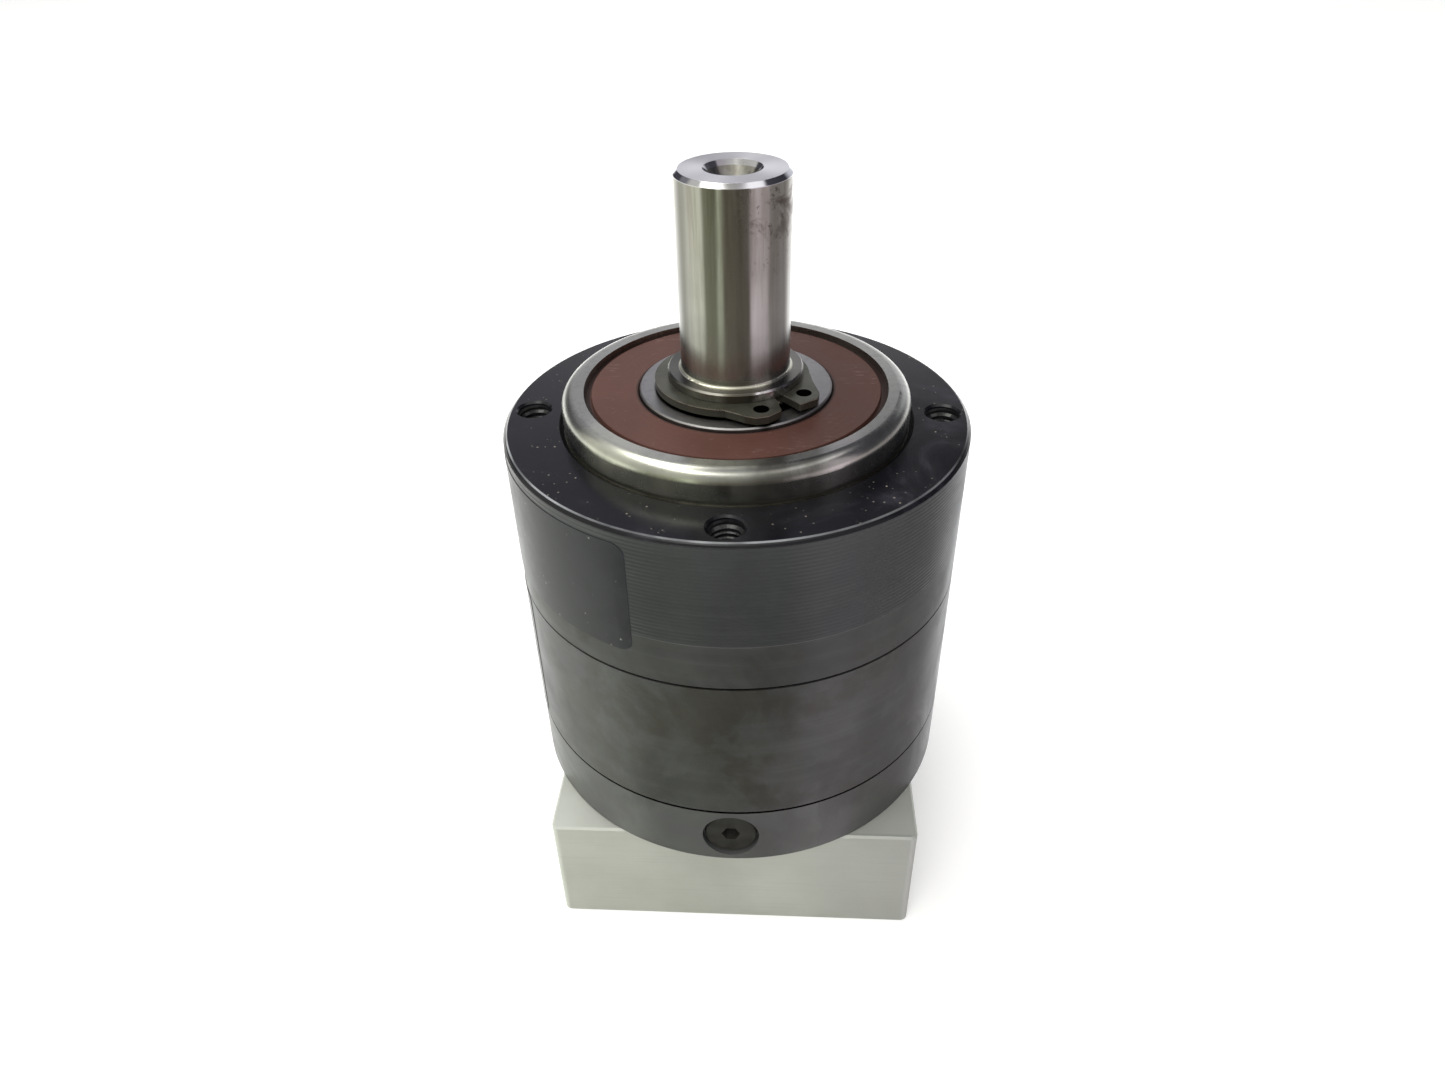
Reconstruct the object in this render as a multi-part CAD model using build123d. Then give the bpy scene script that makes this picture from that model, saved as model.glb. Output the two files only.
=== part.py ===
from build123d import *
import math
import os

# Inline planetary gearbox, 4 to 1, in millimetres.
# Origin: centre of the motor-side face. +Z runs along the output shaft, which ends at the top.
# Access to the clamp screw of the motor hub is on the -Y side.

# Heights along the axis
PLATE_TOP = 22.2
INPUT_HOUSING_TOP = 33.2
RING_GEAR_TOP = 59.0
FACE = 83.5
MAIN_BEARING_BOTTOM = 73.3
MAIN_BEARING_TOP = 88.3
CARRIER_BEARING_BOTTOM = 62.2
CARRIER_BEARING_TOP = 71.2
INPUT_BEARING_BOTTOM = 32.5
INPUT_BEARING_TOP = 39.5
SHAFT_SHOULDER = 91.3
SHAFT_TIP = 119.5

# Ball bearings: outside radius, radius of the ball circle and of the balls
MAIN_OUTER_R = 26.0
MAIN_SEAL_R = 22.6
MAIN_RING_EDGE = 1.9
CARRIER_OUTER_R = 23.5
INPUT_OUTER_R = 16.0
PILOT_GROOVE_R = 25.6
PILOT_GROOVE_WIDTH = 0.6
MAIN_PITCH_R = 18.2
MAIN_BALL_R = 4.7
CARRIER_PITCH_R = 19.25
CARRIER_BALL_R = 2.6
INPUT_PITCH_R = 13.0
INPUT_BALL_R = 1.75
GROOVE_CLEARANCE = 0.06
POCKET_CLEARANCE = 0.1

# Casing
HOUSING_R = 35.0
EDGE = 0.6
SEAT_EDGE = 0.7
SEAM_GAP = 0.26
SEAM_DEPTH = 0.6
FOOT_EDGE = 0.2
SPIGOT_R = 28.0
SPIGOT_LENGTH = 2.5
O_RING_R = 27.35
O_RING_WIRE_R = 0.6
PLATE_WIDTH = 60.0
PLATE_CORNER_R = 1.3
MOTOR_PILOT_R = 25.0
MOTOR_PILOT_DEPTH = 3.5
MOTOR_BOLT_OFFSET = 24.75
MOTOR_BOLT_R = 2.5
PLATE_BORE_R = 18.0
CAVITY_R = 22.0
CAVITY_TOP = 32.0
COLLAR_R = 21.0
COLLAR_TOP = 41.0

# Output flange
BOLT_CIRCLE_R = 31.0
BOLT_R = 2.5
BOLT_DEPTH = 10.0

# Screws
TIE_CIRCLE_R = 31.0
TIE_COUNT = 8
TIE_START = 22.5
PLATE_SCREW_R = 28.5
M3_R = 1.5
M3_HEAD_R = 2.75
M3_HEAD_LENGTH = 3.0
M3_SOCKET_R = 1.44
COUNTERBORE_R = 3.0

# Gear set: sun, three planets and ring
MODULE = 0.7
SUN_TEETH = 24
PLANET_TEETH = 24
RING_TEETH = 72
PRESSURE_ANGLE = math.radians(20)
FLANK_RELIEF = 0.04
FLANK_STEPS = 5
PLANET_COUNT = 3
CENTRE_DISTANCE = MODULE * (SUN_TEETH + PLANET_TEETH) / 2
PLANET_BOTTOM = 45.4
PLANET_TOP = 55.6
PIN_R = 3.0
PLANET_BORE_R = 4.5
NEEDLE_R = 0.7
NEEDLE_COUNT = 15
WASHER_R = 5.5
WASHER_THICKNESS = 0.4

# Carrier and shaft
CARRIER_R = 24.0
CARRIER_TOP = 61.5
REAR_PLATE_R = 23.5
REAR_PLATE_BOTTOM = 41.5
REAR_PLATE_TOP = 45.0
REAR_PLATE_BORE_R = 9.6
POST_INNER_R = 12.5
PLANET_POCKET_R = 10.0
CARRIER_SCREW_R = 18.5
SHAFT_R = 8.0
SEAT_R = 10.0
CARRIER_JOURNAL_R = 15.0
SHAFT_THREAD_R = 2.5
TIP_EDGE = 0.6
SHOULDER_FILLET = 0.4
SHOULDER_EDGE = 0.25

# Motor hub
HUB_BOTTOM = 12.0
HUB_R = 11.0
HUB_BORE_R = 7.0
HUB_BORE_TOP = 38.0
HUB_NECK_R = 7.3
SLOT_WIDTH = 1.6
SLOT_COUNT = 3
PLUG_HEIGHT = 27.7
PLUG_R = 4.1
PLUG_SEAT = 30.0
PLUG_STEP = 33.3
PLUG_FACE = 34.45
PLUG_WAY_R = 3.3
CLAMP_RING_R = 18.0
CLAMP_SCREW_R = 2.5

# External circlip on the shaft, lying beside its groove's centre
CIRCLIP_BOTTOM = 88.75
CIRCLIP_TOP = 89.95
CIRCLIP_OUTER_R = 11.4
CIRCLIP_SHIFT = (-0.5, -0.4)
CIRCLIP_GROOVE_R = 9.5
CIRCLIP_EYE_R = 1.1

# Labels: height range and angle range in degrees
LABEL_THICKNESS = 0.08
FRONT_LABEL = (63.2, 81.3, -178.0, -112.0)
SIDE_LABEL = (33.7, 58.5, -215.0, -155.0)


def rod(radius, bottom, top):
    """Upright cylinder between two heights."""
    return Pos(0, 0, bottom) * Cylinder(radius, top - bottom, align=(Align.CENTER, Align.CENTER, Align.MIN))


def tube(outer_r, inner_r, bottom, top):
    """Upright hollow cylinder between two heights."""
    return rod(outer_r, bottom, top) - rod(inner_r, bottom - 1, top + 1)


def turned(points):
    """Solid of revolution about Z from (radius, height) points."""
    outline = Polyline(*[(radius, 0, height) for radius, height in points], close=True)
    return revolve(make_face(outline), Axis.Z, 360)


def rim(body, radius, height):
    """Circular edges of a body at one radius and height."""
    circles = body.edges().filter_by(GeomType.CIRCLE)
    return circles.filter_by(lambda e: abs(e.radius - radius) < 0.01 and abs(e.arc_center.Z - height) < 0.01)


def polar(radius, degrees):
    """Point on a circle about Z."""
    angle = math.radians(degrees)
    return radius * math.cos(angle), radius * math.sin(angle)


def around(radius, count, start=0.0):
    """Locations evenly spaced on a circle about Z."""
    return [Pos(*polar(radius, start + 360 * i / count), 0) for i in range(count)]


def cut_each(body, tool, places):
    """Cut a copy of the tool at every place."""
    for place in places:
        body -= place * tool
    return body


def group(solid, places):
    """Separate copies of one solid in a single node."""
    return Compound(children=[place * solid for place in places])


# Gear teeth

def involute(angle):
    return math.tan(angle) - angle


def flank(teeth, root_r, tip_r, relief):
    """(radius, half thickness angle) from root to tip of a tooth; relief thins the tooth."""
    pitch_r = MODULE * teeth / 2
    base_r = pitch_r * math.cos(PRESSURE_ANGLE)
    half = math.pi / (2 * teeth) - relief / pitch_r + involute(PRESSURE_ANGLE)
    start_r = max(root_r, base_r)
    radii = [start_r + (tip_r - start_r) * i / FLANK_STEPS for i in range(FLANK_STEPS + 1)]
    steps = [(radius, half - involute(math.acos(base_r / radius))) for radius in radii]
    if root_r < base_r:
        steps.insert(0, (root_r, half))
    return steps


def tooth_outline(teeth, root_r, tip_r, relief, start):
    """Closed outline of a toothed wheel; a tooth is centred at the start angle."""
    rise = flank(teeth, root_r, tip_r, relief)
    points = []
    for i in range(teeth):
        centre = math.radians(start) + 2 * math.pi * i / teeth
        left = [(radius, centre - half) for radius, half in rise]
        right = [(radius, centre + half) for radius, half in reversed(rise)]
        points += [(radius * math.cos(angle), radius * math.sin(angle)) for radius, angle in left + right]
    return make_face(Polyline(*points, close=True))


def toothed(teeth, root_r, tip_r, relief, start, bottom, top):
    outline = tooth_outline(teeth, root_r, tip_r, relief, start)
    return Pos(0, 0, bottom) * extrude(outline, top - bottom)


def external_gear(teeth, start, bottom, top):
    pitch_r = MODULE * teeth / 2
    return toothed(teeth, pitch_r - 1.25 * MODULE, pitch_r + MODULE, FLANK_RELIEF, start, bottom, top)


# Ball bearings

def inner_ring(bore_r, seal_r, land_r, pitch_r, ball_r, bottom, top, seal_depth):
    body = turned([
        (bore_r, bottom + 0.4), (bore_r + 0.4, bottom), (seal_r - 0.2, bottom), (seal_r, bottom + 0.2),
        (seal_r, bottom + seal_depth), (land_r, bottom + seal_depth), (land_r, top - seal_depth),
        (seal_r, top - seal_depth), (seal_r, top - 0.2), (seal_r - 0.2, top), (bore_r + 0.4, top),
        (bore_r, top - 0.4),
    ])
    return body - Pos(0, 0, (bottom + top) / 2) * Torus(pitch_r, ball_r + GROOVE_CLEARANCE)


def outer_ring(outer_r, seal_r, land_r, pitch_r, ball_r, bottom, top, seal_depth, edge):
    body = turned([
        (outer_r, bottom), (seal_r, bottom), (seal_r, bottom + seal_depth), (land_r, bottom + seal_depth),
        (land_r, top - seal_depth), (seal_r, top - seal_depth), (seal_r, top), (outer_r, top),
    ])
    body = fillet(rim(body, outer_r, bottom) + rim(body, outer_r, top), edge)
    return body - Pos(0, 0, (bottom + top) / 2) * Torus(pitch_r, ball_r + GROOVE_CLEARANCE)


def main_outer_ring():
    """Outer ring of the output bearing; a groove parts its press seat from the centring pilot."""
    body = outer_ring(
        MAIN_OUTER_R, MAIN_SEAL_R, 21.2, MAIN_PITCH_R, MAIN_BALL_R, MAIN_BEARING_BOTTOM, MAIN_BEARING_TOP,
        1.6, MAIN_RING_EDGE)
    return body - tube(MAIN_OUTER_R + 1, PILOT_GROOVE_R, FACE - PILOT_GROOVE_WIDTH, FACE)


def balls(pitch_r, ball_r, count, middle):
    return group(Pos(0, 0, middle) * Sphere(ball_r), around(pitch_r, count))


def cage(pitch_r, ball_r, count, middle, half_width, half_height):
    """Ring with a round radial window for each ball."""
    body = tube(pitch_r + half_width, pitch_r - half_width, middle - half_height, middle + half_height)
    window = Pos(pitch_r, 0, middle) * Rot(Y=90) * Cylinder(ball_r + POCKET_CLEARANCE, 2 * half_width + 2)
    for i in range(count):
        body -= Rot(Z=360 * i / count) * window
    return body


# Fasteners

def socket_screw(head_bottom, tip):
    """Socket head screw pointing up: the head is at the bottom."""
    head_top = head_bottom + M3_HEAD_LENGTH
    body = turned([
        (0, head_bottom), (M3_HEAD_R - 0.3, head_bottom), (M3_HEAD_R, head_bottom + 0.3),
        (M3_HEAD_R, head_top), (M3_R, head_top), (M3_R, tip - 0.4), (M3_R - 0.4, tip), (0, tip),
    ])
    socket = Pos(0, 0, head_bottom) * extrude(RegularPolygon(M3_SOCKET_R, 6), 1.6)
    return body - socket


# Casing parts

MAIN_MIDDLE = (MAIN_BEARING_BOTTOM + MAIN_BEARING_TOP) / 2
CARRIER_MIDDLE = (CARRIER_BEARING_BOTTOM + CARRIER_BEARING_TOP) / 2
INPUT_MIDDLE = (INPUT_BEARING_BOTTOM + INPUT_BEARING_TOP) / 2
TIE_HEAD_TOP = PLATE_TOP + 3.3
TIE_TIP = RING_GEAR_TOP + 6.5
PLATE_SEAT = 12.0
PLATE_SCREW_TIP = 29.5
ties = around(TIE_CIRCLE_R, TIE_COUNT, TIE_START)
plate_fasteners = around(PLATE_SCREW_R, 4, 45)
motor_bolts = [
    Pos(x, y, 0)
    for x in (-MOTOR_BOLT_OFFSET, MOTOR_BOLT_OFFSET)
    for y in (-MOTOR_BOLT_OFFSET, MOTOR_BOLT_OFFSET)
]
planets = around(CENTRE_DISTANCE, PLANET_COUNT)


def adapter_plate():
    block = extrude(RectangleRounded(PLATE_WIDTH, PLATE_WIDTH, PLATE_CORNER_R), PLATE_TOP)
    block = chamfer(block.faces().sort_by(Axis.Z)[-1].edges(), 0.35)
    block = chamfer(block.faces().sort_by(Axis.Z)[0].edges(), 0.35)
    block -= rod(PLATE_BORE_R, -1, PLATE_TOP + 1)
    block -= turned([
        (0, -1), (MOTOR_PILOT_R + 1.4, -1), (MOTOR_PILOT_R, 0.4), (MOTOR_PILOT_R, MOTOR_PILOT_DEPTH),
        (0, MOTOR_PILOT_DEPTH),
    ])
    block = cut_each(block, rod(MOTOR_BOLT_R, -1, 16), motor_bolts)
    step_hole = rod(COUNTERBORE_R, -1, PLATE_SEAT) + rod(M3_R + 0.15, PLATE_SEAT - 1, PLATE_TOP + 1)
    return cut_each(block, step_hole, plate_fasteners)


def o_ring_groove(middle):
    return tube(SPIGOT_R + 1, O_RING_R - O_RING_WIRE_R - 0.02, middle - 0.75, middle + 0.75)


def input_housing():
    top = INPUT_HOUSING_TOP
    body = turned([
        (CAVITY_R, PLATE_TOP), (HOUSING_R - FOOT_EDGE, PLATE_TOP), (HOUSING_R, PLATE_TOP + FOOT_EDGE),
        (HOUSING_R, top), (SPIGOT_R, top),
        (SPIGOT_R, top + SPIGOT_LENGTH), (COLLAR_R, top + SPIGOT_LENGTH), (COLLAR_R, COLLAR_TOP),
        (INPUT_OUTER_R, COLLAR_TOP), (INPUT_OUTER_R, INPUT_BEARING_BOTTOM), (14.6, INPUT_BEARING_BOTTOM),
        (14.6, CAVITY_TOP), (CAVITY_R, CAVITY_TOP),
    ])
    body -= o_ring_groove(top + SPIGOT_LENGTH / 2)
    body -= tube(16.85, 15.0, INPUT_BEARING_TOP, INPUT_BEARING_TOP + 1.2)
    tie_hole = rod(COUNTERBORE_R, PLATE_TOP - 1, TIE_HEAD_TOP) + rod(M3_R + 0.15, PLATE_TOP, top + 1)
    body = cut_each(body, tie_hole, ties)
    body = cut_each(body, rod(M3_R, PLATE_TOP - 1, PLATE_SCREW_TIP + 0.8), plate_fasteners)
    access = turned([
        (0, CAVITY_R - 5), (PLUG_WAY_R, CAVITY_R - 5), (PLUG_WAY_R, PLUG_SEAT), (PLUG_R + 0.1, PLUG_SEAT),
        (PLUG_R + 0.1, PLUG_STEP), (PLUG_R + 0.3, PLUG_STEP), (PLUG_R + 0.3, HOUSING_R + 0.4),
        (0, HOUSING_R + 0.4),
    ])
    return body - Pos(0, 0, PLUG_HEIGHT) * Rot(X=90) * access


def ring_gear():
    bottom, top = INPUT_HOUSING_TOP, RING_GEAR_TOP
    pitch_r = MODULE * RING_TEETH / 2
    body = turned([
        (20, bottom + SPIGOT_LENGTH), (SPIGOT_R, bottom + SPIGOT_LENGTH), (SPIGOT_R, bottom),
        (HOUSING_R - SEAM_DEPTH, bottom), (HOUSING_R - SEAM_DEPTH, bottom + SEAM_GAP),
        (HOUSING_R, bottom + SEAM_GAP), (HOUSING_R, top - SEAM_GAP),
        (HOUSING_R - SEAM_DEPTH, top - SEAM_GAP), (HOUSING_R - SEAM_DEPTH, top), (SPIGOT_R, top),
        (SPIGOT_R, top - SPIGOT_LENGTH), (20, top - SPIGOT_LENGTH),
    ])
    half_pitch = 180 / RING_TEETH
    body -= toothed(
        RING_TEETH, pitch_r - MODULE, pitch_r + 1.25 * MODULE, -FLANK_RELIEF, half_pitch, bottom, top
    )
    return cut_each(body, rod(M3_R + 0.15, bottom - 1, top + 1), ties)


def output_housing():
    bottom = RING_GEAR_TOP
    body = turned([
        (24.6, bottom - SPIGOT_LENGTH), (SPIGOT_R, bottom - SPIGOT_LENGTH), (SPIGOT_R, bottom),
        (HOUSING_R, bottom), (HOUSING_R, FACE - EDGE),
        (HOUSING_R - EDGE, FACE), (MAIN_OUTER_R + SEAT_EDGE, FACE), (MAIN_OUTER_R, FACE - SEAT_EDGE),
        (MAIN_OUTER_R, MAIN_BEARING_BOTTOM), (21.0, MAIN_BEARING_BOTTOM), (21.0, CARRIER_BEARING_TOP),
        (CARRIER_OUTER_R, CARRIER_BEARING_TOP), (CARRIER_OUTER_R, CARRIER_BEARING_BOTTOM),
        (24.6, CARRIER_BEARING_BOTTOM),
    ])
    body -= o_ring_groove(bottom - SPIGOT_LENGTH / 2)
    bolt_hole = turned([
        (0, FACE - BOLT_DEPTH - 1.2), (BOLT_R, FACE - BOLT_DEPTH), (BOLT_R, FACE - 0.3),
        (BOLT_R + 0.3, FACE), (BOLT_R + 0.3, FACE + 1), (0, FACE + 1),
    ])
    body = cut_each(body, bolt_hole, around(BOLT_CIRCLE_R, 4))
    return cut_each(body, rod(M3_R, bottom - 1, TIE_TIP + 1), ties)


def o_ring(middle):
    return Pos(0, 0, middle) * Torus(O_RING_R, O_RING_WIRE_R)


def access_plug():
    face_r = PLUG_R - 0.15
    body = turned([
        (0, PLUG_SEAT), (PLUG_R, PLUG_SEAT), (PLUG_R, PLUG_STEP), (face_r, PLUG_STEP),
        (face_r, PLUG_FACE - 0.15), (face_r - 0.15, PLUG_FACE), (0, PLUG_FACE),
    ])
    body -= Pos(0, 0, PLUG_FACE - 2.5) * extrude(RegularPolygon(M3_SOCKET_R, 6), 4)
    return Pos(0, 0, PLUG_HEIGHT) * Rot(X=90) * body


def label(bottom, top, start, end, corner_r):
    """Thin plate wrapped on the casing, its corners rounded."""
    half = math.radians(end - start) / 2
    chord = 2 * HOUSING_R * math.sin(half)
    outline = Plane.YZ * RectangleRounded(chord, top - bottom, corner_r)
    window = Pos(0, 0, (bottom + top) / 2) * extrude(outline, HOUSING_R + 1, dir=(1, 0, 0))
    shell = tube(HOUSING_R + LABEL_THICKNESS, HOUSING_R, bottom, top)
    return shell & Rot(Z=(start + end) / 2) * window


def bearing_circlip():
    """Internal circlip above the input bearing, with its gap on the +Y side."""
    bottom = INPUT_BEARING_TOP + 0.05
    body = tube(16.8, 14.6, bottom, bottom + 1.1)
    gap = Pos(0, 15, bottom) * Box(5, 6, 4)
    return body - gap


def seal(inner_r, outer_r, low, high, step):
    """Rubber disc with a sunk outer rim."""
    rim = outer_r - 1.0
    return turned([
        (inner_r, low), (outer_r, low), (outer_r, high - step), (rim, high - step), (rim - 0.15, high),
        (inner_r + 0.2, high), (inner_r, high - 0.2),
    ])


# Carrier parts

def circlip():
    """External circlip with two eyed lugs, its gap facing -50 degrees."""
    disc = Pos(*CIRCLIP_SHIFT) * Circle(CIRCLIP_OUTER_R)
    disc -= make_face(Polyline((0, 0), polar(20, -55), polar(20, -45), close=True))
    left_lug = (
        (9.7, -95), (11.9, -95), (12.6, -88), (13.6, -82), (14.4, -76), (14.4, -69), (13.6, -59.5),
        (10.2, -54),
    )
    right_lug = (
        (10.2, -45), (13.7, -46), (14.4, -34), (13.8, -27.5), (12.6, -21), (11.6, -13), (11.0, -2),
        (9.7, -4),
    )
    for outline, eye in ((left_lug, (12.2, -70.5)), (right_lug, (11.95, -33))):
        lug = make_face(Polyline(*[polar(*point) for point in outline], close=True))
        hole = Pos(*polar(*eye)) * Circle(CIRCLIP_EYE_R)
        disc = disc + fillet(lug.vertices(), 0.3) - hole
    disc -= Circle(CIRCLIP_GROOVE_R)
    return Pos(0, 0, CIRCLIP_BOTTOM) * extrude(disc, CIRCLIP_TOP - CIRCLIP_BOTTOM)


def posts(bottom, top):
    """Webs of the carrier between the planets."""
    body = tube(REAR_PLATE_R, POST_INNER_R, bottom, top)
    return cut_each(body, rod(PLANET_POCKET_R, bottom - 1, top + 1), planets)


def output_shaft():
    disc_bottom = PLANET_TOP + WASHER_THICKNESS
    groove_low, groove_high = CIRCLIP_BOTTOM - 0.05, CIRCLIP_TOP + 0.05
    body = turned([
        (0, disc_bottom), (CARRIER_R, disc_bottom), (CARRIER_R, CARRIER_TOP), (17.0, CARRIER_TOP),
        (17.0, CARRIER_BEARING_BOTTOM), (CARRIER_JOURNAL_R, CARRIER_BEARING_BOTTOM),
        (CARRIER_JOURNAL_R, CARRIER_BEARING_TOP), (12.5, CARRIER_BEARING_TOP), (12.5, MAIN_BEARING_BOTTOM),
        (SEAT_R, MAIN_BEARING_BOTTOM), (SEAT_R, groove_low), (CIRCLIP_GROOVE_R, groove_low),
        (CIRCLIP_GROOVE_R, groove_high), (SEAT_R, groove_high), (SEAT_R, SHAFT_SHOULDER - SHOULDER_EDGE),
        (SEAT_R - SHOULDER_EDGE, SHAFT_SHOULDER), (SHAFT_R, SHAFT_SHOULDER),
        (SHAFT_R, SHAFT_TIP - TIP_EDGE), (SHAFT_R - TIP_EDGE, SHAFT_TIP), (0, SHAFT_TIP),
    ])
    body = fillet(rim(body, SHAFT_R, SHAFT_SHOULDER), SHOULDER_FILLET)
    body += posts(REAR_PLATE_TOP, disc_bottom + 1)
    body -= turned([
        (0, SHAFT_TIP - 14), (SHAFT_THREAD_R, SHAFT_TIP - 12.5), (SHAFT_THREAD_R, SHAFT_TIP - 2.5),
        (4.1, SHAFT_TIP), (4.1, SHAFT_TIP + 1), (0, SHAFT_TIP + 1),
    ])
    body = cut_each(body, rod(PIN_R, disc_bottom - 1, CARRIER_TOP - 0.3), planets)
    screw_hole = rod(M3_R, REAR_PLATE_TOP - 1, 52)
    return cut_each(body, screw_hole, around(CARRIER_SCREW_R, 3, 60))


def carrier_rear_plate():
    body = tube(REAR_PLATE_R, REAR_PLATE_BORE_R, REAR_PLATE_BOTTOM, REAR_PLATE_TOP)
    body = cut_each(body, rod(PIN_R, REAR_PLATE_BOTTOM - 1, REAR_PLATE_TOP + 1), planets)
    low = REAR_PLATE_BOTTOM
    screw_hole = rod(M3_R + 0.15, low - 1, REAR_PLATE_TOP + 1) + rod(COUNTERBORE_R, low - 1, low + 2.0)
    return cut_each(body, screw_hole, around(CARRIER_SCREW_R, 3, 60))


def carrier_screw():
    """Low head screw, flush in the rear plate."""
    low = REAR_PLATE_BOTTOM + 0.2
    body = turned([
        (0, low), (M3_HEAD_R - 0.2, low), (M3_HEAD_R, low + 0.2), (M3_HEAD_R, low + 1.8),
        (M3_R, low + 1.8), (M3_R, 50.6), (M3_R - 0.4, 51), (0, 51),
    ])
    return body - Pos(0, 0, low) * extrude(RegularPolygon(1.15, 6), 1.1)


def planet_gear(index):
    direction = 360 * index / PLANET_COUNT
    half_tooth = 180 / PLANET_TEETH
    body = external_gear(PLANET_TEETH, half_tooth, PLANET_BOTTOM, PLANET_TOP)
    body -= rod(PLANET_BORE_R, PLANET_BOTTOM - 1, PLANET_TOP + 1)
    return Rot(Z=direction) * Pos(CENTRE_DISTANCE, 0, 0) * body


def needle_set(index):
    pitch_r = (PIN_R + PLANET_BORE_R) / 2
    direction = 360 * index / PLANET_COUNT
    needle = rod(NEEDLE_R, PLANET_BOTTOM + 0.2, PLANET_TOP - 0.2)
    places = [Pos(*polar(CENTRE_DISTANCE, direction), 0) * place for place in around(pitch_r, NEEDLE_COUNT)]
    return group(needle, places)


def thrust_washers():
    low = tube(WASHER_R, PIN_R, REAR_PLATE_TOP, PLANET_BOTTOM - 0.05)
    high = tube(WASHER_R, PIN_R, PLANET_TOP + 0.05, PLANET_TOP + WASHER_THICKNESS)
    return Compound(children=[place * washer for place in planets for washer in (low, high)])


# Input parts

def input_hub():
    neck_bottom = INPUT_BEARING_TOP + 0.4
    body = turned([
        (0, HUB_BOTTOM), (HUB_R - 0.5, HUB_BOTTOM), (HUB_R, HUB_BOTTOM + 0.5), (HUB_R, INPUT_BEARING_BOTTOM),
        (SEAT_R, INPUT_BEARING_BOTTOM), (SEAT_R, neck_bottom), (HUB_NECK_R, neck_bottom),
        (HUB_NECK_R, PLANET_BOTTOM), (0, PLANET_BOTTOM),
    ])
    body += external_gear(SUN_TEETH, 0, PLANET_BOTTOM - 0.2, PLANET_TOP)
    body -= turned([
        (0, HUB_BOTTOM - 1), (HUB_BORE_R + 1.6, HUB_BOTTOM - 1), (HUB_BORE_R, HUB_BOTTOM + 0.6),
        (HUB_BORE_R, HUB_BORE_TOP), (0, HUB_BORE_TOP),
    ])
    slot = Pos(9, 0, 0) * Box(9, SLOT_WIDTH, 2 * (CAVITY_TOP - HUB_BOTTOM))
    for i in range(SLOT_COUNT):
        body -= Rot(Z=90 + 360 * i / SLOT_COUNT) * Pos(0, 0, HUB_BOTTOM) * slot
    return body


def clamp_ring():
    low, high = PLUG_HEIGHT - 4, PLUG_HEIGHT + 4
    body = tube(CLAMP_RING_R, HUB_R, low, high)
    body -= Pos(0, 14, PLUG_HEIGHT) * Box(2.4, 12, 12)
    return body - Pos(0, -14, PLUG_HEIGHT) * Rot(X=90) * Cylinder(CLAMP_SCREW_R, 12)


def clamp_screw():
    body = turned([(0, 0), (CLAMP_SCREW_R - 0.4, 0), (CLAMP_SCREW_R, 0.4), (CLAMP_SCREW_R, 6.2), (0, 6.2)])
    body -= Pos(0, 0, 3.4) * extrude(RegularPolygon(1.44, 6), 4)
    return Pos(0, -HUB_R, PLUG_HEIGHT) * Rot(X=90) * body


tie_screw = socket_screw(TIE_HEAD_TOP - M3_HEAD_LENGTH, TIE_TIP)
plate_screw = socket_screw(PLATE_SEAT - M3_HEAD_LENGTH, PLATE_SCREW_TIP)
planet_pin = rod(PIN_R, REAR_PLATE_BOTTOM + 0.2, CARRIER_TOP - 0.3)

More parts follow.
